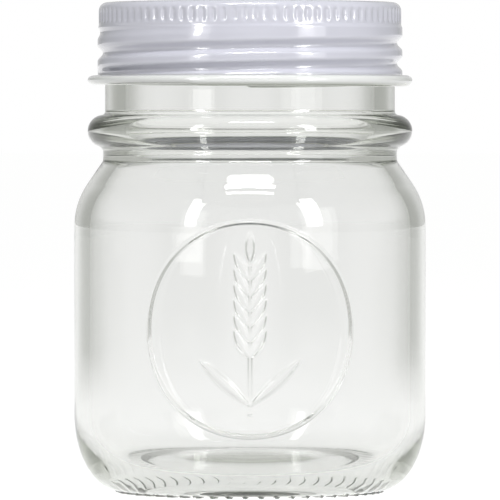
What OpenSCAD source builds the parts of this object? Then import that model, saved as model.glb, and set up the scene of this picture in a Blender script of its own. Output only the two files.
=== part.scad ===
// Round glass storage jar with a one-piece metal screw lid

/* [Glass body] */
// Height from the table to the glass rim
jar_h = 100; // [92:0.5:130]
// Diameter of the straight part of the body
body_d = 72.6; // [70:0.2:84]
// Thickness of the body's wall
wall_t = 3.2; // [2.4:0.1:4]
// Thickness of the floor at its middle
floor_t = 3.6; // [2.6:0.1:5]
// Height of the push-up at the middle of the underside
pushup_h = 2.6; // [1.6:0.1:4]
// Height of the rounded heel, from the table to the straight wall
heel_h = 16; // [11:0.5:22]
// Outer diameter of the standing ring
stand_d = 53.6; // [50:0.2:58]
// Width of the standing ring
stand_w = 3.6; // [2.6:0.1:5]
// Width of the inner corner between floor and wall
corner_w = 9.6; // [6:0.1:12]
// Height of the inner corner between floor and wall
corner_h = 12; // [8:0.5:16]
// Height of the inner floor at its edge, where it is lowest
floor_edge_h = 4; // [3.4:0.1:6]
// Radius of the shoulder's curve
shoulder_r = 15.8; // [11:0.2:18]
// Lean of the shoulder's cone from the vertical
shoulder_lean = 34.5; // [28:0.5:40]

/* [Glass neck] */
// Inner diameter of the mouth
mouth_d = 51.4; // [48:0.2:53]
// Thickness of the glass at the neck
neck_t = 4.2; // [3.4:0.1:5]
// Distance from the rim down to the neck's foot
neck_h = 31.6; // [29:0.2:36]
// How much wider the neck is under the bead, on each side
neck_step = 0.45; // [0.1:0.05:0.8]
// Rounding of the rim's edges
rim_r = 1.2; // [0.6:0.1:1.6]
// How far the bead ring stands out of the neck
bead_out = 3.6; // [2.8:0.1:4.4]
// Radius of the bead's round section
bead_r = 3.3; // [2.8:0.1:3.6]
// Distance from the rim down to the middle of the bead
bead_drop = 25.4; // [24:0.2:26]

/* [Screw thread] */
// Rise of the thread in one turn
pitch = 4.233; // [4:0.001:4.8]
// Height of the glass thread above the neck
thread_depth = 1.1; // [0.9:0.05:1.2]
// Width of the glass thread's crest
crest_w = 0.9; // [0.6:0.05:1.1]
// Turns of glass thread
thread_turns = 1.6; // [1.2:0.1:1.7]
// Distance from the rim down to the glass thread's upper end
thread_drop = 5; // [4.8:0.1:5.6]
// Direction of the glass thread's upper end, seen from above
thread_angle = 43; // [0:1:359]
// Width of the thread rolled into the lid
roll_w = 3.2; // [2.8:0.1:3.4]
// Radial gap between the neck and the lid's thread, and between the glass thread and the skirt
thread_gap = 0.2; // [0.15:0.01:0.3]
// How far the tight lid's thread is drawn up from the middle between the glass turns
thread_pull = 0.3; // [0.1:0.05:0.35]

/* [Lid] */
// Height of the lid
lid_h = 17.3; // [16.4:0.1:19]
// Thickness of the lid's sheet
sheet_t = 0.25; // [0.2:0.01:0.35]
// Radius of the edge round the top
lid_edge_r = 1.7; // [1.2:0.1:2]
// Height of the fluted band, from the top
band_h = 4.7; // [4.4:0.1:4.8]
// How far the fluted band lies inside the skirt below it
band_step = 0.25; // [0.1:0.05:0.4]
// Depth of the top's middle panel below its edge
panel_drop = 0.4; // [0.2:0.05:0.5]
// Number of flutes round the band
flute_count = 90; // [60:1:96]
// Width of one flute
flute_w = 1.4; // [1:0.05:1.6]
// Depth of one flute
flute_depth = 0.25; // [0.15:0.01:0.3]
// Length of one flute
flute_l = 3; // [2:0.1:3.2]
// Diameter of the curled hem's section
curl_d = 2; // [1.6:0.05:2.4]

/* [Seal] */
// Thickness of the sealing ring
seal_t = 0.85; // [0.6:0.05:1.2]
// How far the sealing ring reaches inside the mouth's edge
seal_reach = 0.7; // [0.4:0.1:1.2]
// Gap between the sealing ring and the lid's band, and between it and the top's panel
seal_gap = 0.15; // [0.1:0.01:0.3]

/* [Roundel] */
// Outer diameter of the raised ring, measured along the glass
roundel_d = 44.4; // [38:0.2:46]
// Width of the raised ring
roundel_w = 1.25; // [0.8:0.05:2]
// Height of the roundel's middle above the table
roundel_z = 34.6; // [32:0.2:42]
// How far the ring and the ear stand out of the glass
relief_h = 0.45; // [0.3:0.05:0.6]
// Pairs of grains on the ear
grain_pairs = 6; // [4:1:7]
// Length of one grain
grain_l = 6.2; // [5:0.1:7]
// Width of one grain
grain_w = 2.5; // [2:0.1:3]
// Step from one pair of grains to the next
grain_step = 3.1; // [2.7:0.1:3.4]
// Lean of a grain from the stem
grain_lean = 27; // [18:1:34]
// Gap between the ear's tip and the ring
tip_gap = 1.25; // [0.8:0.05:3]
// Gap between the stem's foot and the ring
stem_gap = 3.65; // [2:0.05:6]
// Length of a leaf
leaf_l = 14; // [10:0.5:15]

/* [Crescent marks] */
// Number of marks round the standing ring
mark_count = 52; // [36:1:56]
// Length of one mark
mark_l = 4.4; // [3:0.1:4.8]
// Width of one mark at its middle
mark_w = 0.7; // [0.4:0.05:0.9]
// How far the marks stand out under the standing ring
mark_h = 0.25; // [0.15:0.05:0.4]

/* [Hidden] */
$fn = 120;

body_r = body_d / 2;
stand_r = stand_d / 2;
mouth_r = mouth_d / 2;
neck_r = mouth_r + neck_t;
foot_r = neck_r + neck_step;
bead_mid = neck_r + bead_out - bead_r;
floor_z = pushup_h + floor_t;
pushup_edge_z = 1.2;    // height of the push-up's edge
pushup_edge = 1;        // distance from the push-up's edge to the standing ring
foot_z = jar_h - neck_h;
bead_z = jar_h - bead_drop;
foot_fillet = 1.2;      // hollow where the shoulder meets the neck
bead_fillet_low = 1.5;  // hollow under the bead
bead_fillet_top = 0.8;  // hollow above the bead

// The shoulder's curve ends the straight wall and meets its cone at the cone's lean
shoulder_x = body_r - shoulder_r;
cone_start_r = shoulder_x + shoulder_r * cos(shoulder_lean);
shoulder_z = foot_z - (cone_start_r - foot_r) / tan(shoulder_lean) - shoulder_r * sin(shoulder_lean);
inner_foot_r = foot_r - wall_t * cos(shoulder_lean);
inner_foot_z = foot_z - wall_t * sin(shoulder_lean) + (inner_foot_r - mouth_r) / tan(shoulder_lean);

// The glass thread, and the lid's thread that hooks under it
sink = 0.4;             // how deep an added form starts inside the glass
thread_top_z = jar_h - thread_drop;
thread_fade = 24;       // degrees over which the glass thread runs out at each end
thread_end = 0.1;       // share of the thread's height that is left at its ends
crest_round = 0.85;     // share of the thread's height at the crest's edges
sweep_step = 6;         // degrees from one ring of a sweep to the next
roll_below = pitch / 2 - thread_pull;

// The lid, from the glass outwards
skirt_r = neck_r + thread_depth + thread_gap;
skirt_out_r = skirt_r + sheet_t;
band_out_r = skirt_out_r - band_step;
band_r = band_out_r - flute_depth - sheet_t;
lid_top = jar_h + seal_t + sheet_t;
lid_base = lid_top - lid_h;
band_z = lid_top - band_h;
band_slope = 0.6;       // height over which the band widens to the skirt
curl_r = curl_d / 2;
curl_in = 0.05;         // distance from the skirt's inner face to the curl's section
curl_x = skirt_r + curl_in + curl_r;
curl_z = lid_base + curl_r;
curl_slot = [120, 132]; // degrees between which the curl's free edge stays open
flute_rise = 0.4;       // how far a flute runs up into the rounded edge
flute_top = lid_edge_r - flute_rise;
flute_point = 0.6;      // length of a flute's pointed end

// The lid's thread runs from just above the hem to just below the band, and fades at both ends
roll_low_z = lid_base + curl_d + 1;
roll_high_z = band_z - 0.4;
roll_fade_low = 50;
roll_fade_high = 210;
roll_lift = 0.1;        // how far the cutter's edges stay outside the skirt
roll_reach = 0.6;       // how far the cutter reaches outside the skirt
roll_cuts = 3;          // points on each side of the thread's middle

seal_in_r = mouth_r - seal_reach;
panel_r = seal_in_r - seal_gap;
panel_slope = 0.5;

mark_out = 0.9;         // how far the marks lie outside the middle of the standing ring
mark_bow = 0.6;         // how far a mark bends from a straight line
marks_r = stand_r - stand_w / 2 + mark_out;

ring_round = 0.2;       // share of the relief's height at the ring's edges
ring_crest = roundel_w * 0.4;
stem_w = 1.1;
tip_lift = 0.4;         // how far the top grain starts above the last pair
stem_tip = 1;           // how far the stem runs into the top grain
leaf_rise = 2;          // from the stem's foot up to the leaves
leaf_w = 2.8;
leaf_lean = 48;
ring_in_r = roundel_d / 2 - roundel_w;
ear_low = ring_in_r - stem_gap;
ear_high = ring_in_r - tip_gap - grain_l - tip_lift;
ear_base = grain_pairs * grain_step - ear_high; // from the roundel's middle down to the first grains
pass = 1;               // how far a cutter passes the face that it cuts

// Points on an arc of radii rx and ry round c, from angle a to angle b
function arc(c, rx, ry, a, b, steps) =
    [for (i = [0:steps]) let (t = a + (b - a) * i / steps) c + [rx * cos(t), ry * sin(t)]];

// Hollow of radius f between the upright wall at radius w and the bead, below it (side -1) or above it (side 1)
function bead_fillet(w, f, side) =
    let (drop = sqrt(pow(bead_r + f, 2) - pow(w + f - bead_mid, 2)),
         t = atan2(drop, w + f - bead_mid))
    side < 0
        ? arc([w + f, bead_z - drop], f, f, 180, 180 - t, 4)
        : arc([w + f, bead_z + drop], f, f, 180 + t, 180, 4);

// How far round the bead's section its hollow of radius f begins
function bead_lean(w, f) = acos((w + f - bead_mid) / (bead_r + f));

// Where the glass thread's middle lies in direction a
function thread_z(a) = thread_top_z + pitch * (a - thread_angle) / 360;

// The direction in which the lid's thread reaches height z
function roll_angle(z) = thread_angle + 360 * (z + roll_below - thread_top_z) / pitch;

// Runs from 0 at both ends to 1 between them
function fade(a, low, high, fade_low, fade_high) =
    max(0, min(1, (a - low) / fade_low, (high - a) / fade_high));

function around(r, a, z) = [r * cos(a), r * sin(a), z];

// A point of the front of the body, s along the glass from its middle and h out of it
function on_front(s, z, h) =
    let (a = s / body_r * 180 / PI) [(body_r + h) * sin(a), -(body_r + h) * cos(a), z];

// One closed solid through rings of points that all have the same count
module skin(rings, closed = false) {
    n = len(rings);
    m = len(rings[0]);
    spans = closed ? n : n - 1;
    sides = [for (i = [0:spans - 1], j = [0:m - 1])
        let (k = (i + 1) % n, l = (j + 1) % m)
        each [[i * m + j, k * m + j, k * m + l], [i * m + j, k * m + l, i * m + l]]];
    caps = closed ? [] : [
        [for (j = [0:m - 1]) j],
        [for (j = [m - 1:-1:0]) (n - 1) * m + j]
    ];
    polyhedron([for (ring = rings) each ring], concat(sides, caps));
}

// Half section of the glass: underside, outside, rim, then down the inside
module glass_section() {
    low = bead_lean(foot_r, bead_fillet_low);
    top = bead_lean(neck_r, bead_fillet_top);
    foot_up = foot_fillet * tan(shoulder_lean / 2);
    pushup_r = stand_r - stand_w - pushup_edge;
    floor_edge_r = body_r - wall_t - corner_w;
    polygon(concat(
        [[0, pushup_h]],
        [for (i = [1:6]) let (t = i / 6) [pushup_r * t, pushup_h - (pushup_h - pushup_edge_z) * t * t]],
        [[stand_r - stand_w, mark_h]],
        arc([stand_r, heel_h], body_r - stand_r, heel_h - mark_h, -90, 0, 12),
        arc([shoulder_x, shoulder_z], shoulder_r, shoulder_r, 0, shoulder_lean, 8),
        arc([foot_r + foot_fillet, foot_z + foot_up], foot_fillet, foot_fillet, 180 + shoulder_lean, 180, 4),
        bead_fillet(foot_r, bead_fillet_low, -1),
        arc([bead_mid, bead_z], bead_r, bead_r, -low, top, 12),
        bead_fillet(neck_r, bead_fillet_top, 1),
        arc([neck_r - rim_r, jar_h - rim_r], rim_r, rim_r, 0, 90, 5),
        arc([mouth_r + rim_r, jar_h - rim_r], rim_r, rim_r, 90, 180, 5),
        [[mouth_r, inner_foot_z]],
        arc([shoulder_x, shoulder_z], shoulder_r - wall_t, shoulder_r - wall_t, shoulder_lean, 0, 8),
        arc([floor_edge_r, floor_edge_h + corner_h], corner_w, corner_h, 0, -90, 10),
        [for (i = [1:6]) let (t = i / 6)
            [floor_edge_r * (1 - t), floor_edge_h + (floor_z - floor_edge_h) * t * t * (3 - 2 * t)]]
    ));
}

module glass_thread() {
    low = thread_angle - 360 * thread_turns;
    steps = ceil((thread_angle - low) / sweep_step);
    skin([for (i = [0:steps])
        let (a = low + (thread_angle - low) * i / steps,
             f = thread_end + (1 - thread_end) * fade(a, low, thread_angle, thread_fade, thread_fade),
             d = thread_depth * f)
        [for (p = [
            [-crest_w / 2 - d - sink, -sink],
            [-crest_w / 2, crest_round * d],
            [-crest_w / 4, d],
            [crest_w / 4, d],
            [crest_w / 2, crest_round * d],
            [crest_w / 2 + d + sink, -sink]
        ]) around(neck_r + p[1], a, thread_z(a) + p[0])]]);
}

module roundel_ring() {
    mid = (roundel_d - roundel_w) / 2;
    skin([for (i = [0:71])
        let (t = 5 * i)
        [for (p = [
            [-roundel_w / 2, -sink],
            [-roundel_w / 2, ring_round * relief_h],
            [-ring_crest / 2, relief_h],
            [ring_crest / 2, relief_h],
            [roundel_w / 2, ring_round * relief_h],
            [roundel_w / 2, -sink]
        ]) on_front((mid + p[0]) * cos(t), roundel_z + (mid + p[0]) * sin(t), p[1])]], closed = true);
}

// Pointed oval of length l and width w, standing on its lower point
module pointed_oval(l, w) {
    r = (l * l + w * w) / (4 * w);
    translate([0, l / 2]) intersection() {
        translate([r - w / 2, 0]) circle(r);
        translate([w / 2 - r, 0]) circle(r);
    }
}

// An ear of grain on its stem, with two leaves, round the roundel's middle
module ear_outline() {
    translate([-stem_w / 2, -ear_low]) square([stem_w, ear_low + ear_high + stem_tip]);
    translate([0, ear_high + tip_lift]) pointed_oval(grain_l, grain_w);
    for (side = [-1, 1]) {
        for (i = [0:grain_pairs - 1])
            translate([side * stem_w / 3, i * grain_step - ear_base])
                rotate(-side * grain_lean) pointed_oval(grain_l, grain_w);
        translate([0, leaf_rise - ear_low]) rotate(-side * leaf_lean) pointed_oval(leaf_l, leaf_w);
    }
}

module ear() {
    intersection() {
        translate([0, 0, roundel_z - roundel_d / 2]) difference() {
            cylinder(r = body_r + relief_h, h = roundel_d);
            translate([0, 0, -pass]) cylinder(r = body_r - sink, h = roundel_d + 2 * pass);
        }
        translate([0, 0, roundel_z]) rotate([90, 0, 0]) linear_extrude(body_r + 2 * relief_h) ear_outline();
    }
}

// Crescents round the standing ring, flat underneath, on which the jar stands
module crescent_marks() {
    bow_out = mark_w + mark_bow;
    bow_in = mark_bow;
    r_out = (mark_l * mark_l / 4 + bow_out * bow_out) / (2 * bow_out);
    r_in = (mark_l * mark_l / 4 + bow_in * bow_in) / (2 * bow_in);
    for (i = [0:mark_count - 1])
        rotate((i + 0.5) * 360 / mark_count) translate([marks_r, 0, 0])
            linear_extrude(mark_h + sink) difference() {
                translate([0, bow_out - r_out]) circle(r_out);
                translate([0, bow_in - r_in]) circle(r_in);
            }
}

module glass_jar() {
    color([0.87, 0.9, 0.88, 0.45]) union() {
        rotate_extrude() glass_section();
        glass_thread();
        roundel_ring();
        ear();
        crescent_marks();
    }
}

// The sweep that presses the lid's thread into a wall of radius r
module rolled_thread(r) {
    low = roll_angle(roll_low_z);
    high = roll_angle(roll_high_z);
    steps = ceil((high - low) / sweep_step);
    skin([for (i = [0:steps])
        let (a = low + (high - low) * i / steps,
             z = thread_z(a) - roll_below,
             d = (thread_depth + roll_lift) * fade(a, low, high, roll_fade_low, roll_fade_high))
        concat(
            [for (j = [-roll_cuts:roll_cuts])
                let (u = j / roll_cuts)
                around(r + roll_lift - d * (1 + cos(180 * u)) / 2, a, z + u * roll_w / 2)],
            [around(r + roll_reach, a, z + roll_w / 2), around(r + roll_reach, a, z - roll_w / 2)]
        )]);
}

// Outline of the lid's outside, from its middle to the skirt's lower edge
module lid_outer_section() {
    polygon(concat(
        [[0, lid_top - panel_drop], [panel_r - panel_slope, lid_top - panel_drop], [panel_r, lid_top]],
        arc([band_out_r - lid_edge_r, lid_top - lid_edge_r], lid_edge_r, lid_edge_r, 90, 0, 6),
        [[band_out_r, band_z], [skirt_out_r, band_z - band_slope], [skirt_out_r, curl_z], [0, curl_z]]
    ));
}

// Outline of the space in the lid, one sheet inside its outline
module lid_inner_section() {
    edge_in_r = lid_edge_r - sheet_t;
    roof = lid_top - sheet_t;
    polygon(concat(
        [[0, roof - panel_drop], [panel_r - panel_slope, roof - panel_drop], [panel_r, roof]],
        arc([band_r - edge_in_r, roof - edge_in_r], edge_in_r, edge_in_r, 90, 0, 5),
        [[band_r, band_z], [skirt_r, band_z - band_slope], [skirt_r, curl_z - pass], [0, curl_z - pass]]
    ));
}

module flutes() {
    cutter_r = (flute_w * flute_w / 4 + flute_depth * flute_depth) / (2 * flute_depth);
    for (i = [0:flute_count - 1])
        rotate(i * 360 / flute_count)
            translate([band_out_r - flute_depth + cutter_r, 0, lid_top - flute_top - flute_l])
                rotate_extrude($fn = 48) polygon([
                    [0, 0],
                    [cutter_r - flute_depth, 0],
                    [cutter_r, flute_point],
                    [cutter_r, flute_l - flute_point],
                    [cutter_r - flute_depth, flute_l],
                    [0, flute_l]
                ]);
}

// The hem, curled outwards and up, with its free edge against the skirt
module curled_hem() {
    rotate_extrude() translate([curl_x, curl_z]) difference() {
        circle(curl_r);
        circle(curl_r - sheet_t);
        polygon(concat([[0, 0]], [for (t = curl_slot) 2 * curl_r * [cos(t), sin(t)]]));
    }
}

module lid_shell() {
    color([0.85, 0.85, 0.9]) union() {
        difference() {
            rotate_extrude() lid_outer_section();
            rolled_thread(skirt_out_r);
            flutes();
            difference() {
                rotate_extrude() lid_inner_section();
                rolled_thread(skirt_r);
            }
        }
        curled_hem();
    }
}

module lid_seal() {
    color([0.92, 0.91, 0.88]) rotate_extrude() polygon([
        [seal_in_r, jar_h],
        [band_r - seal_gap, jar_h],
        [band_r - seal_gap, jar_h + seal_t - lid_edge_r / 2],
        [band_r - lid_edge_r, jar_h + seal_t],
        [seal_in_r, jar_h + seal_t]
    ]);
}

glass_jar();
lid_shell();
lid_seal();
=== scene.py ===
import math
import bmesh
import bpy
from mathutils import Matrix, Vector


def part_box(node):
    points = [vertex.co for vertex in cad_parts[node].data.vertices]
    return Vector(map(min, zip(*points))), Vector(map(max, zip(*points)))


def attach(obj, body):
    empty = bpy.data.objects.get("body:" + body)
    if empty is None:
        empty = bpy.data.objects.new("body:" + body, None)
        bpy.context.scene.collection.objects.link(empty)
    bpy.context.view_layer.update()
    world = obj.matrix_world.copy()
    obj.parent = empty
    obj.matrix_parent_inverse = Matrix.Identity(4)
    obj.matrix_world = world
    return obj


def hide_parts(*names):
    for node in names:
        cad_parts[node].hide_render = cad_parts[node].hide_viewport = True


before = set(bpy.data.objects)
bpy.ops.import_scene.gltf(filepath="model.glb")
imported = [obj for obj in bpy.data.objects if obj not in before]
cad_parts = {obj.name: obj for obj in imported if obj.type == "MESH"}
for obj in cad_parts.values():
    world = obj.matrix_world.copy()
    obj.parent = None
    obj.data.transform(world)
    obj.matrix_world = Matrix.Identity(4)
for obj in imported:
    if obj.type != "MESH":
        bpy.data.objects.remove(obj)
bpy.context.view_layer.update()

mm = 0.001
scene = bpy.context.scene
front = -90  # direction of the jar's front, in degrees from +X
tiny = 0.01  # two places closer than this are one, in millimetres
small = 0.1  # a point closer than this to a stretch of the outline belongs to it


# Helpers for drawn outlines, in millimetres: x is the radius and z the height
def arc(cx, cz, rx, rz, start, end, steps):
    turns = [math.radians(start + (end - start) * i / steps) for i in range(steps + 1)]
    return [(cx + rx * math.cos(t), cz + rz * math.sin(t)) for t in turns]


def line(a, b, steps):
    # The points between a and b, without the two ends
    return [(a[0] + (b[0] - a[0]) * i / steps, a[1] + (b[1] - a[1]) * i / steps) for i in range(1, steps)]


def roundCorner(before, corner, after, reachIn, reachOut, steps):
    # A smooth bend in place of the outline's corner
    c = Vector(corner)
    a = c + (Vector(before) - c).normalized() * reachIn
    b = c + (Vector(after) - c).normalized() * reachOut
    shares = [i / steps for i in range(steps + 1)]
    return [tuple(a * (1 - t) ** 2 + c * 2 * t * (1 - t) + b * t ** 2) for t in shares]


def smooth(value, low, high):
    t = max(0.0, min(1.0, (value - low) / (high - low)))
    return t * t * (3 - 2 * t)


# Helpers for meshes
def spunMesh(outline, columns):
    # Turns an outline round the upright axis, once round
    bm = bmesh.new()
    verts = [bm.verts.new((x, 0, z)) for x, z in outline]
    edges = [bm.edges.new(pair) for pair in zip(verts, verts[1:])]
    bmesh.ops.spin(bm, geom=verts + edges, cent=(0, 0, 0), axis=(0, 0, 1), dvec=(0, 0, 0),
                   angle=math.tau, steps=columns, use_merge=True, use_duplicate=False)
    bmesh.ops.remove_doubles(bm, verts=bm.verts, dist=tiny / 10)
    return bm


def polar(co):
    return math.hypot(co.x, co.y), math.degrees(math.atan2(co.y, co.x))


def pushOut(vert, amount):
    radius = math.hypot(vert.co.x, vert.co.y)
    vert.co.x *= (radius + amount) / radius
    vert.co.y *= (radius + amount) / radius


def refine(bm, faces, cuts):
    edges = dict.fromkeys(edge for face in faces for edge in face.edges)
    bmesh.ops.subdivide_edges(bm, edges=list(edges), cuts=cuts, use_grid_fill=True)


def makePiece(name, bm, body, node, material):
    # Millimetres become metres, and the piece stands for its CAD node
    bmesh.ops.recalc_face_normals(bm, faces=bm.faces)
    bmesh.ops.scale(bm, vec=(mm, mm, mm), verts=bm.verts)
    for face in bm.faces:
        face.smooth = True
    mesh = bpy.data.meshes.new(name)
    bm.to_mesh(mesh)
    bm.free()
    piece = bpy.data.objects.new(name, mesh)
    scene.collection.objects.link(piece)
    mesh.materials.append(material)
    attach(piece, body)
    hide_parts(node)
    return piece


# Shader maths as Python expressions
class Wire:
    def __init__(self, finish, socket):
        self.finish = finish
        self.socket = socket

    def math(self, kind, *inOrder):
        return self.finish.node("Math", {"operation": kind}, inOrder)

    def __add__(self, other):
        return self.math("ADD", self, other)

    def __radd__(self, other):
        return self.math("ADD", other, self)

    def __sub__(self, other):
        return self.math("SUBTRACT", self, other)

    def __rsub__(self, other):
        return self.math("SUBTRACT", other, self)

    def __mul__(self, other):
        return self.math("MULTIPLY", self, other)

    def __rmul__(self, other):
        return self.math("MULTIPLY", other, self)

    def __abs__(self):
        return self.math("ABSOLUTE", self)

    def band(self, low, high):
        # 0 below low, 1 above high
        return self.finish.node("MapRange", {"interpolation_type": "SMOOTHSTEP"}, Value=self,
                                From_Min=low, From_Max=high)


class Finish:
    def __init__(self, name, world=None):
        self.owner = world or bpy.data.materials.new(name)
        self.owner.use_nodes = True
        self.tree = self.owner.node_tree
        self.tree.nodes.clear()

    def node(self, kind, settings=None, inOrder=(), output=None, **named):
        # Sockets are filled in their order, or by name with _ for a space
        made = self.tree.nodes.new("ShaderNode" + kind)
        for key, value in (settings or {}).items():
            setattr(made, key, value)
        filled = list(zip(made.inputs, inOrder))
        filled += [(self.find(made.inputs, key.replace("_", " ")), value) for key, value in named.items()]
        for socket, value in filled:
            if isinstance(value, Wire):
                self.tree.links.new(value.socket, socket)
            else:
                socket.default_value = value
        return Wire(self, self.find(made.outputs, output) if len(made.outputs) else None)

    def find(self, sockets, name):
        # Some nodes hold a socket of one name for each kind of data, and one of them is in use
        return next(s for s in sockets if s.enabled and name in (None, s.name))

    def place(self):
        return self.node("TexCoord", output="Object")

    def part(self, place, axis):
        return self.node("SeparateXYZ", output=axis, Vector=place)

    def noise(self, scale, detail):
        return self.node("TexNoise", output="Fac", Vector=self.place(), Scale=scale, Detail=detail)

    def bump(self, strength, depth, height):
        return self.node("Bump", Strength=strength, Distance=depth, Height=height)

    def ray(self, kind):
        return self.node("LightPath", output="Is " + kind + " Ray")

    def mix(self, factor, first, second):
        return self.node("Mix", {"data_type": "RGBA"}, Factor=factor, A=first, B=second)

    def blend(self, factor, first, second):
        return self.node("MixShader", inOrder=(factor, first, second))

    def end(self, **shaders):
        self.node("OutputWorld" if isinstance(self.owner, bpy.types.World) else "OutputMaterial", **shaders)
        return self.owner


# Camera, at the photograph's viewing angle, in metres
shot = {"distance": 1.342, "eyeHeight": 0.0748, "aimHeight": 0.0500, "pixel": 0.0002065, "frame": 500,
        "sensor": 36, "clip": 0.01}


def makeCamera():
    data = bpy.data.cameras.new("camera")
    camera = bpy.data.objects.new("camera", data)
    scene.collection.objects.link(camera)
    camera.location = (0, -shot["distance"], shot["eyeHeight"])
    aim = Vector((0, 0, shot["aimHeight"])) - camera.location
    camera.rotation_euler = aim.to_track_quat("-Z", "Y").to_euler()
    data.sensor_width = shot["sensor"]
    data.lens = shot["sensor"] * shot["distance"] / (shot["pixel"] * shot["frame"])
    data.clip_start = shot["clip"]
    scene.camera = camera


makeCamera()
print("camera placed")


# Clear glass of the jar
glassLook = {
    "colour": (1, 1, 1, 1),
    "roughness": 0.0,
    "ior": 1.5,
    "tint": (0.54, 0.572, 0.482, 1),  # what a thick stretch of the glass lets through
    "density": 28.0,
    "shadow": (0.95, 0.96, 0.95, 1),  # what its shadow lets through
    # Moulded glass is never quite even: the noise's scale and detail, and the bump's strength and depth
    "wave": (55.0, 1.0), "waveBump": (0.12, 0.0003),
}


def makeGlass():
    finish = Finish("clearGlass")
    bump = finish.bump(*glassLook["waveBump"], finish.noise(*glassLook["wave"]))
    glass = finish.node("BsdfPrincipled", Base_Color=glassLook["colour"], Roughness=glassLook["roughness"],
                        IOR=glassLook["ior"], Transmission_Weight=1.0, Normal=bump)
    clear = finish.node("BsdfTransparent", Color=glassLook["shadow"])
    depth = finish.node("VolumeAbsorption", Color=glassLook["tint"], Density=glassLook["density"])
    return finish.end(Surface=finish.blend(finish.ray("Shadow"), glass, clear), Volume=depth)


# The jar's own sizes, in millimetres, with its angles in degrees
jar = {
    "height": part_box("glass_jar")[1][2] / mm,
    "bodyRadius": 36.3, "wall": 3.2, "heelHeight": 16.0,
    "floorHeight": 6.2, "floorEdge": 4.0, "cornerWide": 9.6, "cornerHigh": 12.0,
    "pushup": 2.6, "pushupEdge": 1.2, "pushupGap": 1.0, "standRadius": 26.8, "standWidth": 3.6,
    "shoulderRadius": 15.8, "shoulderLean": 34.5,
    "neckRadius": 29.9, "mouthRadius": 25.7, "rimRound": 1.2,
    "footRadius": 30.35, "footDrop": 31.6, "footHollow": 1.2,
    "innerFootIn": 0.9, "innerFootOut": 1.5, "innerFootRise": 1.0,  # the bend inside the neck's foot
    "beadRadius": 3.3, "beadMiddle": 30.2, "beadDrop": 25.4, "beadHollowLow": 1.5, "beadHollowTop": 0.8,
    "columns": 180,
}
# How many steps the mesh takes along each stretch of the jar's outline
jarSteps = {
    "dome": 8, "edge": 3, "stand": 5, "heel": 26, "wall": 31, "shoulder": 9, "slope": 4, "foot": 6,
    "hollowLow": 8, "bead": 26, "hollowTop": 6, "finish": 52, "rim": 6, "throat": 8, "innerFoot": 5,
    "innerWall": 12, "corner": 16, "floor": 8,
}
screw = {"pitch": 4.233, "depth": 1.1, "crest": 0.9, "flank": 1.0, "turns": 1.6, "topDrop": 5.0,
         "topAngle": 43.0, "fade": 24.0, "end": 0.1, "zone": 18.0}
marks = {"count": 52, "length": 4.4, "width": 0.7, "height": 0.4, "radius": 25.9, "bow": 0.6,
         "soft": (-0.2, 0.5), "zone": (23.3, 28.6), "zoneTop": 0.9, "cuts": 2}
roundel = {
    "middle": 34.6, "radius": 22.2, "ringWidth": 1.05, "ringSoft": 0.85, "relief": 0.55,
    "grainPairs": 6, "grainLength": 6.2, "grainWidth": 2.5, "grainStep": 3.1, "grainLean": 27.0,
    "grainSoft": 0.75, "stemWidth": 1.1, "stemSoft": 0.8, "stemLow": 17.3, "firstPair": 5.5, "tipLift": 0.4,
    "leafLength": 14.0, "leafWidth": 2.8, "leafLean": 48.0, "leafRise": 2.0,
    "cuts": 5, "patch": 22.9, "innerFrom": 20.0,
}
jar["footZ"] = jar["height"] - jar["footDrop"]
jar["beadZ"] = jar["height"] - jar["beadDrop"]
jar["shoulderX"] = jar["bodyRadius"] - jar["shoulderRadius"]


def shoulderHeight():
    # The shoulder's round ends in a straight slope that meets the neck's foot
    lean = math.radians(jar["shoulderLean"])
    slopeStart = jar["shoulderX"] + jar["shoulderRadius"] * math.cos(lean)
    return (jar["footZ"] - (slopeStart - jar["footRadius"]) / math.tan(lean)
            - jar["shoulderRadius"] * math.sin(lean))


def beadHollow(radius, hollow, side):
    # The hollow between the upright neck and the bead, below it (side -1) or above it (side 1)
    across = radius + hollow - jar["beadMiddle"]
    drop = math.sqrt((jar["beadRadius"] + hollow) ** 2 - across ** 2)
    turn = math.degrees(math.atan2(drop, across))
    ends = (180, 180 - turn, jarSteps["hollowLow"]) if side < 0 else (180 + turn, 180, jarSteps["hollowTop"])
    return arc(radius + hollow, jar["beadZ"] + side * drop, hollow, hollow, *ends), turn


def baseOutline():
    # From the middle of the push-up to the top of the heel
    low = marks["height"]
    standIn = jar["standRadius"] - jar["standWidth"]
    domeRadius = standIn - jar["pushupGap"]
    dome = jar["pushup"] - jar["pushupEdge"]
    shares = [i / jarSteps["dome"] for i in range(jarSteps["dome"] + 1)]
    points = [(domeRadius * share, jar["pushup"] - dome * share ** 2) for share in shares]
    points += line(points[-1], (standIn, low), jarSteps["edge"])
    points += [(standIn, low)] + line((standIn, low), (jar["standRadius"], low), jarSteps["stand"])
    return points + arc(jar["standRadius"], jar["heelHeight"], jar["bodyRadius"] - jar["standRadius"],
                        jar["heelHeight"] - low, -90, 0, jarSteps["heel"])


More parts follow.
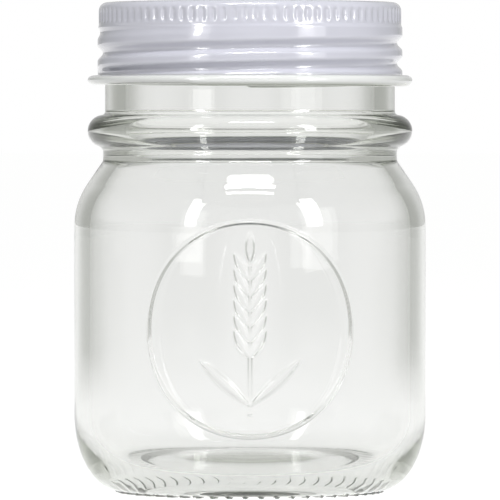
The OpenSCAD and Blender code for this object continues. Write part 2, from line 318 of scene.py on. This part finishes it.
def outsideOutline():
    # From the top of the heel up to the rim
    shoulderZ = shoulderHeight()
    lean = jar["shoulderLean"]
    footUp = jar["footHollow"] * math.tan(math.radians(lean / 2))
    hollowLow, turnLow = beadHollow(jar["footRadius"], jar["beadHollowLow"], -1)
    hollowTop, turnTop = beadHollow(jar["neckRadius"], jar["beadHollowTop"], 1)
    foot = arc(jar["footRadius"] + jar["footHollow"], jar["footZ"] + footUp, jar["footHollow"],
               jar["footHollow"], 180 + lean, 180, jarSteps["foot"])
    rim = jar["rimRound"]
    rimZ = jar["height"] - rim
    points = line((jar["bodyRadius"], jar["heelHeight"]), (jar["bodyRadius"], shoulderZ), jarSteps["wall"])
    points += arc(jar["shoulderX"], shoulderZ, jar["shoulderRadius"], jar["shoulderRadius"], 0, lean,
                  jarSteps["shoulder"])
    points += line(points[-1], foot[0], jarSteps["slope"]) + foot + hollowLow
    points += arc(jar["beadMiddle"], jar["beadZ"], jar["beadRadius"], jar["beadRadius"], -turnLow, turnTop,
                  jarSteps["bead"])
    points += hollowTop
    points += line(points[-1], (jar["neckRadius"], rimZ), jarSteps["finish"])
    points += arc(jar["neckRadius"] - rim, rimZ, rim, rim, 0, 90, jarSteps["rim"])
    return points + arc(jar["mouthRadius"] + rim, rimZ, rim, rim, 90, 180, jarSteps["rim"])


def insideOutline(start):
    # From the rim down the inside to the middle of the floor
    lean = math.radians(jar["shoulderLean"])
    innerFoot = jar["footRadius"] - jar["wall"] * math.cos(lean)
    innerFootZ = (jar["footZ"] - jar["wall"] * math.sin(lean)
                  + (innerFoot - jar["mouthRadius"]) / math.tan(lean))
    inner = jar["shoulderRadius"] - jar["wall"]
    bend = arc(jar["shoulderX"], shoulderHeight(), inner, inner, jar["shoulderLean"], 0,
               jarSteps["shoulder"])
    floorRadius = jar["bodyRadius"] - jar["wall"] - jar["cornerWide"]
    corner = arc(floorRadius, jar["floorEdge"] + jar["cornerHigh"], jar["cornerWide"], jar["cornerHigh"],
                 0, -90, jarSteps["corner"])
    rise = jar["floorHeight"] - jar["floorEdge"]
    points = line(start, (jar["mouthRadius"], innerFootZ + jar["innerFootRise"]), jarSteps["throat"])
    points += roundCorner(points[-1], (jar["mouthRadius"], innerFootZ), bend[0], jar["innerFootIn"],
                          jar["innerFootOut"], jarSteps["innerFoot"])
    points += bend
    points += line(points[-1], corner[0], jarSteps["innerWall"]) + corner
    for i in range(1, jarSteps["floor"] + 1):
        share = i / jarSteps["floor"]
        points.append((floorRadius * (1 - share), jar["floorEdge"] + rise * smooth(share, 0, 1)))
    return points


def ovalDepth(x, z, length, width):
    # How far (x, z) lies inside a pointed oval that stands on the origin: 1 on its ridge, 0 at its edge
    if not 0 < z < length:
        return 0
    reach = (length ** 2 + width ** 2) / (4 * width)
    half = math.sqrt(reach ** 2 - (z - length / 2) ** 2) - reach + width / 2
    return max(0, 1 - abs(x) / half) if half > 2 * tiny else 0


def earHeight(x, z):
    # An ear of grain with two leaves at its foot
    top = roundel["grainPairs"] * roundel["grainStep"] - roundel["firstPair"]
    grain = (roundel["grainLength"], roundel["grainWidth"])
    leaf = (roundel["leafLength"], roundel["leafWidth"])
    shapes = [(0, top + roundel["tipLift"], 0, *grain)]
    for side in (-1, 1):
        for pair in range(roundel["grainPairs"]):
            foot = pair * roundel["grainStep"] - roundel["firstPair"]
            shapes.append((side * roundel["stemWidth"] / 3, foot, side * roundel["grainLean"], *grain))
        shapes.append((0, roundel["leafRise"] - roundel["stemLow"], side * roundel["leafLean"], *leaf))
    best = 0
    for baseX, baseZ, lean, length, width in shapes:
        if abs(x - baseX) > length or not -length < z - baseZ < length:
            continue
        t = math.radians(lean)
        along = (x - baseX) * math.sin(t) + (z - baseZ) * math.cos(t)
        across = (x - baseX) * math.cos(t) - (z - baseZ) * math.sin(t)
        best = max(best, smooth(ovalDepth(across, along, length, width), 0, roundel["grainSoft"]))
    if -roundel["stemLow"] < z < top:
        best = max(best, smooth(1 - abs(x) / (roundel["stemWidth"] / 2), 0, roundel["stemSoft"]))
    return best


def reliefHeight(x, z):
    out = math.hypot(x, z)
    half = roundel["ringWidth"] / 2
    best = smooth(1 - abs(out - roundel["radius"] + half) / half, 0, roundel["ringSoft"])
    if out < roundel["radius"] - roundel["ringWidth"]:
        best = max(best, earHeight(x, z))
    return best * roundel["relief"]


def threadHeight(angle, z):
    # The glass thread is a ridge that climbs round the neck and runs out at both ends
    low = screw["topAngle"] - 360 * screw["turns"]
    best = 0
    for turn in range(-2, 2):
        a = angle + 360 * turn
        if not low <= a <= screw["topAngle"]:
            continue
        middle = jar["height"] - screw["topDrop"] + screw["pitch"] * (a - screw["topAngle"]) / 360
        run = min(1, (a - low) / screw["fade"], (screw["topAngle"] - a) / screw["fade"])
        high = screw["depth"] * (screw["end"] + (1 - screw["end"]) * run)
        side = smooth(abs(z - middle), screw["crest"] / 4, screw["crest"] / 2 + screw["flank"])
        best = max(best, high * (1 - side))
    return best


def markDepth(x, y):
    # 1 inside a crescent, 0 outside; every crescent lies along a spoke
    step = math.tau / marks["count"]
    radius = math.hypot(x, y)
    angle = math.atan2(y, x)
    first = math.floor(angle / step - 0.5)
    best = 0
    for middle in ((first + 0.5) * step, (first + 1.5) * step):
        along = (radius * math.cos(angle - middle) - marks["radius"]) / (marks["length"] / 2)
        across = radius * math.sin(angle - middle)
        if abs(along) >= 1:
            continue
        bend = 1 - along ** 2
        centre = (marks["bow"] + marks["width"] / 2) * bend
        out = abs(across - centre) / (marks["width"] * bend / 2 + tiny)
        best = max(best, smooth(1 - out, *marks["soft"]))
    return best


def makeJar(glass):
    outline = baseOutline() + outsideOutline()
    bm = spunMesh(outline + insideOutline(outline[-1]), jar["columns"])
    midWall = jar["bodyRadius"] - jar["wall"] / 2
    wallTop = shoulderHeight()

    def onFront(co):
        # Across and up from the roundel's middle, along the wall
        across = (math.atan2(co.y, co.x) - math.radians(front)) * jar["bodyRadius"]
        up = co.z - roundel["middle"]
        return across, up, math.hypot(across, up) < roundel["patch"]

    patch = []
    base = []
    for face in bm.faces:
        middle = face.calc_center_median()
        radius = math.hypot(middle.x, middle.y)
        # The heel's faces lie further in than the wall's
        outside = radius > (midWall if middle.z > roundel["innerFrom"] else midWall - 1)
        if outside and middle.y < 0 and onFront(middle)[2]:
            patch.append(face)
        if middle.z < marks["zoneTop"] and marks["zone"][0] < radius < marks["zone"][1]:
            base.append(face)
    refine(bm, patch, roundel["cuts"])
    refine(bm, base, marks["cuts"])
    for vert in bm.verts:
        radius, angle = polar(vert.co)
        z = vert.co.z
        if radius > midWall and vert.co.y < 0:
            across, up, inPatch = onFront(vert.co)
            if inPatch and jar["heelHeight"] <= z <= wallTop:
                pushOut(vert, jar["bodyRadius"] - radius)
            if inPatch:
                pushOut(vert, reliefHeight(across, up))
        elif abs(radius - jar["neckRadius"]) < small and z > jar["height"] - screw["zone"]:
            pushOut(vert, threadHeight(angle, z))
        elif z < marks["zoneTop"] and marks["zone"][0] < radius < marks["zone"][1]:
            vert.co.z = z * (1 - markDepth(vert.co.x, vert.co.y))
    return makePiece("glassJar", bm, "jar", "glass_jar", glass)


glassJar = makeJar(makeGlass())
print("jar made:", len(glassJar.data.polygons), "faces")

# Painted sheet of the lid; noise and bump are given as the glass's are
lidLook = {
    "paint": (0.555, 0.557, 0.626, 1), "cloud": (60.0, 3.0), "cloudEdge": (0.3, 0.7), "cloudShade": 0.97,
    # The hem's underside colour is painted shade: the curl turns darker towards its bottom, over underShare
    # of its height
    "hem": (0.690, 0.700, 0.690, 1), "hemUnderShade": (0.47, 0.49, 0.43, 1), "underShare": 0.9,
    # The dark crease colour is painted shade, in a thin band where the curl tucks under the skirt
    "creaseShade": (0.40, 0.41, 0.40, 1), "creaseShare": 0.7,
    # Heights over the hem's top between which a colour sets in, in metres
    "paintFrom": (-0.0002, 0.0005), "creaseFrom": (-0.0001, 0.0001), "creaseTo": (0.0002, 0.0005),
    "roughness": 0.12, "roughnessSpread": 0.08, "grain": (900.0, 2.0), "grainBump": (0.04, 0.0002),
    "coat": 0.8, "coatIor": 1.7, "coatRoughness": 0.03,
}

# The lid's own sizes, in millimetres, with its angles in degrees
lid = {
    "top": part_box("lid_shell")[1][2] / mm, "base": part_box("lid_shell")[0][2] / mm,
    "bandRadius": 31.2, "skirtRadius": 31.45, "skirtFrom": 30.3, "sheet": 0.25, "edge": 1.7, "columns": 180,
    "panelRadius": 24.85, "panelDrop": 0.4, "panelSlope": 0.5, "panelRound": 0.25,
    "bandHeight": 4.7, "bandSlope": 0.6, "flutes": 90, "fluteWidth": 1.4, "fluteDepth": 0.25,
    "fluteLength": 3.0, "fluteTop": 1.3, "fluteSoft": 0.35, "fluteRunOut": 0.25, "fluteCuts": 3,
    "curl": 1.0, "curlX": 32.25, "curlEnd": 480.0, "tuck": 0.02, "tuckLow": 0.9, "tuckHigh": 1.6,
    "hemShare": 0.94, "hemThin": 0.22,
    "stepStart": 246.0, "stepEnd": 252.0, "rightStart": 350.0, "rightEnd": 90.0,
    "rollWidth": 3.2, "rollBelow": 1.8165, "rollLow": 2.5, "rollTopGap": 0.4, "rollFrom": 1.7,
    "fadeLow": 25.0, "fadeHigh": 210.0,
}
lid["hemTop"] = lid["base"] + 2 * lid["curl"]
lid["bandZ"] = lid["top"] - lid["bandHeight"]
# How many steps the mesh takes along each stretch of the lid's outline
lidSteps = {"panel": 6, "bend": 3, "flat": 4, "edge": 8, "band": 10, "slope": 3, "skirt": 34, "curl": 30}


def makeEnamel():
    finish = Finish("lidEnamel")
    height = finish.part(finish.place(), "Z")

    def overHem(low, high):
        return height.band(lid["hemTop"] * mm + low, lid["hemTop"] * mm + high)

    cloud = finish.noise(*lidLook["cloud"])
    shaded = [c * lidLook["cloudShade"] for c in lidLook["paint"][:3]] + [1]
    paint = finish.mix(cloud.band(*lidLook["cloudEdge"]), lidLook["paint"], shaded)
    # Painted shade: the lower part of the curl is mixed towards the dark underside colour
    underShade = 1 - height.band(lid["base"] * mm, (lid["base"] + lidLook["underShare"] * lid["curl"]) * mm)
    hem = finish.mix(underShade, lidLook["hem"], lidLook["hemUnderShade"])
    # Painted shade: a dark band just over the hem's top, along the crease under the skirt
    creaseShade = overHem(*lidLook["creaseFrom"]) * (1 - overHem(*lidLook["creaseTo"])) * lidLook["creaseShare"]
    colour = finish.mix(overHem(*lidLook["paintFrom"]), hem, paint)
    colour = finish.mix(creaseShade, colour, lidLook["creaseShade"])
    bump = finish.bump(*lidLook["grainBump"], finish.noise(*lidLook["grain"]))
    shine = cloud * lidLook["roughnessSpread"] + lidLook["roughness"]
    return finish.end(Surface=finish.node("BsdfPrincipled", Base_Color=colour, Roughness=shine, Normal=bump,
                                          Coat_Weight=lidLook["coat"], Coat_IOR=lidLook["coatIor"],
                                          Coat_Roughness=lidLook["coatRoughness"]))


def lidOutline():
    top = lid["top"]
    curlZ = lid["base"] + lid["curl"]
    panelZ = top - lid["panelDrop"]
    panelLow = (lid["panelRadius"] - lid["panelSlope"], panelZ)
    panelTop = (lid["panelRadius"], top)
    bend = (lid["panelRound"], lid["panelRound"], lidSteps["bend"])
    edge = arc(lid["bandRadius"] - lid["edge"], top - lid["edge"], lid["edge"], lid["edge"], 90, 0,
               lidSteps["edge"])
    bandFoot = (lid["bandRadius"], lid["bandZ"])
    skirtTop = (lid["skirtRadius"], lid["bandZ"] - lid["bandSlope"])
    skirtFoot = (lid["skirtRadius"], curlZ + lid["tuckHigh"])
    points = [(0, panelZ)]
    points += line(points[0], panelLow, lidSteps["panel"])
    points += roundCorner((0, panelZ), panelLow, panelTop, *bend)
    points += roundCorner(panelLow, panelTop, edge[0], *bend)
    points += line(points[-1], edge[0], lidSteps["flat"]) + edge
    points += line(points[-1], bandFoot, lidSteps["band"]) + [bandFoot]
    points += line(bandFoot, skirtTop, lidSteps["slope"]) + [skirtTop]
    points += line(skirtTop, skirtFoot, lidSteps["skirt"])
    # The skirt runs into the curl, which turns out, down, round and back to the skirt
    points += [skirtFoot, (lid["skirtRadius"] - lid["tuck"], curlZ + lid["tuckLow"])]
    return points + arc(lid["curlX"], curlZ, lid["curl"], lid["curl"], 180, lid["curlEnd"],
                        lidSteps["curl"])


def rollDepth(angle, z):
    # The rolled thread: a rounded groove that climbs round the skirt and fades at both ends
    start = jar["height"] - screw["topDrop"] - lid["rollBelow"]
    perTurn = 360 / screw["pitch"]
    low = screw["topAngle"] + perTurn * (lid["base"] + lid["rollLow"] - start)
    high = screw["topAngle"] + perTurn * (lid["bandZ"] - lid["rollTopGap"] - start)
    best = 0
    for turn in range(-4, 4):
        a = angle + 360 * turn
        off = abs(z - start - (a - screw["topAngle"]) / perTurn)
        if not low <= a <= high or off > lid["rollWidth"] / 2:
            continue
        fade = min(1, (a - low) / lid["fadeLow"], (high - a) / lid["fadeHigh"])
        best = max(best, screw["depth"] * fade * (1 + math.cos(math.tau * off / lid["rollWidth"])) / 2)
    return best


def fluteDepth(angle, z):
    step = 360 / lid["flutes"]
    across = ((angle + step / 2) % step - step / 2) * math.radians(lid["bandRadius"])
    middle = lid["top"] - lid["fluteTop"] - lid["fluteLength"] / 2
    along = abs(z - middle) / (lid["fluteLength"] / 2)
    if along >= 1:
        return 0
    half = lid["fluteWidth"] / 2 * math.sqrt(1 - along ** 4)
    side = smooth(abs(across) / half, lid["fluteSoft"], 1.0)
    return lid["fluteDepth"] * (1 - side) * smooth(1 - along, 0, lid["fluteRunOut"])


def hemHeight(angle, z):
    # The hem is thin on the left and at the far right, and steps down to its full height in front
    a = angle % 360
    thin = 1 - smooth(a, lid["stepStart"], lid["stepEnd"]) + smooth(a, lid["rightStart"], 360)
    if a <= lid["rightEnd"]:
        thin = 1 - smooth(a, 0, lid["rightEnd"])
    return lid["hemTop"] - (lid["hemTop"] - z) * (lid["hemShare"] - lid["hemThin"] * thin)


def makeLid(enamel):
    bm = spunMesh(lidOutline(), lid["columns"])
    bandTop = lid["top"] - lid["edge"] / 2
    band = [e for e in bm.edges if abs(e.verts[0].co.z - e.verts[1].co.z) < tiny
            and lid["bandZ"] - tiny < e.verts[0].co.z < bandTop
            and e.verts[0].co.xy.length > lid["skirtFrom"]]
    bmesh.ops.subdivide_edges(bm, edges=band, cuts=lid["fluteCuts"], use_grid_fill=True)
    for vert in bm.verts:
        radius, angle = polar(vert.co)
        z = vert.co.z
        if radius < lid["skirtFrom"]:
            continue
        if z < lid["hemTop"] + small:
            vert.co.z = hemHeight(angle, z)
        if z > lid["bandZ"] - small:
            pushOut(vert, -fluteDepth(angle, z))
        elif z >= lid["base"] + lid["rollFrom"]:
            pushOut(vert, -rollDepth(angle, z))
    bmesh.ops.recalc_face_normals(bm, faces=bm.faces)
    piece = makePiece("lidShell", bm, "lid", "lid_shell", enamel)
    wall = piece.modifiers.new("sheet", "SOLIDIFY")
    wall.thickness = lid["sheet"] * mm
    wall.offset = -1
    return piece


lidShell = makeLid(makeEnamel())
print("lid made:", len(lidShell.data.polygons), "faces")

# Ring of sealing compound under the lid's top, in millimetres
seal = {
    "inner": 25.0, "outer": 30.55, "topIn": 0.3, "round": 0.25, "columns": 128, "steps": 4,
    "low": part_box("lid_seal")[0][2] / mm, "high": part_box("lid_seal")[1][2] / mm,
}
sealLook = {
    "dark": (0.80, 0.79, 0.74, 1), "pale": (0.86, 0.85, 0.81, 1), "roughness": 0.55,
    "cloud": (200.0, 4.0), "bump": (0.3, 0.0001),
}


def makeCompound():
    finish = Finish("sealingCompound")
    cloud = finish.noise(*sealLook["cloud"])
    colour = finish.mix(cloud, sealLook["dark"], sealLook["pale"])
    bump = finish.bump(*sealLook["bump"], cloud)
    return finish.end(Surface=finish.node("BsdfPrincipled", Base_Color=colour, Normal=bump,
                                          Roughness=sealLook["roughness"]))


def makeSeal(compound):
    soft = seal["round"]
    left = seal["inner"] + soft
    right = seal["outer"] - soft
    corners = ((left, seal["low"] + soft, 180), (right, seal["low"] + soft, 270),
               (right - seal["topIn"], seal["high"] - soft, 0), (left, seal["high"] - soft, 90))
    outline = [point for x, z, start in corners
               for point in arc(x, z, soft, soft, start, start + 90, seal["steps"])]
    bm = spunMesh(outline + [outline[0]], seal["columns"])
    return makePiece("lidSeal", bm, "lid_carrier", "lid_seal", compound)


lidSeal = makeSeal(makeCompound())
print("seal made:", len(lidSeal.data.polygons), "faces")

# Pale floor and plain soft light, in metres and watts
studio = {
    "floor": (0.92, 0.92, 0.92, 1), "floorSize": 20.0, "floorGlow": 1.15, "floorShare": 0.8,
    "floorLight": 0.35, "floorDark": (0.4, 0.9), "shade": 0.36, "shadeEdge": (0.024, 0.037),
    "dark": (0.53, 0.54, 0.515, 1), "pale": (1.0, 1.0, 1.0, 1), "black": (0.0, 0.0, 0.0, 1),
    "cornerDark": (0.36, 0.90), "upDark": (0.10, 0.55), "upShare": 0.8,
    "diffuse": 0.60, "glossy": 0.6, "through": 0.9,  # how bright each kind of ray finds the room
    "aim": (0, 0, 0.05),
    "bounces": 40, "glossyBounces": 24,  # light crosses the thick base many times
}
# Where each lamp stands, its width and height, and its power
lamps = {
    "leftStrip": ((-0.62, -0.74, 0.45), (0.10, 0.70), 2.3),
    "rightStrip": ((0.66, -0.70, 0.45), (0.16, 0.70), 4.2),
    "topBar": ((0.0, -0.45, 0.95), (0.45, 0.08), 5.0),
    "leftWindow": ((-0.74, -0.95, 0.32), (0.34, 0.62), 0.8),
    "rightWindow": ((0.88, -0.82, 0.34), (0.50, 0.66), 1.6),
}


def cornerDark(finish, direction):
    # The room is darker half way between its four sides, which greys the glass's edges
    across = finish.part(direction, "X")
    along = finish.part(direction, "Y")
    return (2 * abs(across * along)).band(*studio["cornerDark"])


def makeFloorPaint():
    finish = Finish("floorPaint")
    spot = finish.place()
    far = finish.node("VectorMath", {"operation": "LENGTH"}, Vector=spot)
    side = finish.node("VectorMath", {"operation": "NORMALIZE"}, Vector=spot)
    through = finish.ray("Transmission")
    dark = cornerDark(finish, side) * far.band(*studio["floorDark"]) * through
    # The jar's own shade on the floor, as the glass of its base shows it
    shade = (1 - far.band(*studio["shadeEdge"])) * through * studio["shade"]
    tone = finish.mix(dark, finish.mix(shade, studio["pale"], studio["black"]), studio["dark"])
    strength = (1 - finish.ray("Diffuse") * (1 - studio["floorLight"])
                - through * (1 - studio["through"])) * studio["floorGlow"]
    paint = finish.node("BsdfDiffuse", Color=studio["floor"])
    glow = finish.node("Emission", Color=tone, Strength=strength)
    return finish.end(Surface=finish.blend(studio["floorShare"], paint, glow))


def makeFloor():
    mesh = bpy.data.meshes.new("floor")
    bm = bmesh.new()
    bmesh.ops.create_grid(bm, x_segments=2, y_segments=2, size=studio["floorSize"])
    bm.to_mesh(mesh)
    bm.free()
    floor = bpy.data.objects.new("floor", mesh)
    scene.collection.objects.link(floor)
    mesh.materials.append(makeFloorPaint())


def makeLamp(name, at, size, power):
    data = bpy.data.lights.new(name, "AREA")
    data.shape = "RECTANGLE"
    data.size, data.size_y = size
    data.energy = power
    lamp = bpy.data.objects.new(name, data)
    scene.collection.objects.link(lamp)
    lamp.location = at
    lamp.rotation_euler = (Vector(studio["aim"]) - Vector(at)).to_track_quat("-Z", "Y").to_euler()


def makeRoom():
    scene.world = bpy.data.worlds.new("room")
    finish = Finish("room", scene.world)
    direction = finish.node("TexCoord", output="Generated")
    up = finish.part(direction, "Z").band(*studio["upDark"]) * studio["upShare"]
    dark = up.math("MAXIMUM", up, cornerDark(finish, direction))
    room = finish.mix(dark, studio["pale"], studio["dark"])
    colour = finish.mix(finish.ray("Camera"), room, studio["pale"])
    through = finish.ray("Transmission")
    # Glass counts a ray through it as a glossy one too
    glossy = finish.ray("Glossy") * (1 - through)
    strength = (1 - finish.ray("Diffuse") * (1 - studio["diffuse"]) - glossy * (1 - studio["glossy"])
                - through * (1 - studio["through"]))
    finish.end(Surface=finish.node("Background", Color=colour, Strength=strength))


makeFloor()
for name, (at, size, power) in lamps.items():
    makeLamp(name, at, size, power)
makeRoom()
scene.cycles.max_bounces = studio["bounces"]
scene.cycles.transmission_bounces = studio["bounces"]
scene.cycles.glossy_bounces = studio["glossyBounces"]
scene.view_settings.view_transform = "Standard"
print("studio made:", len(lamps), "lamps")
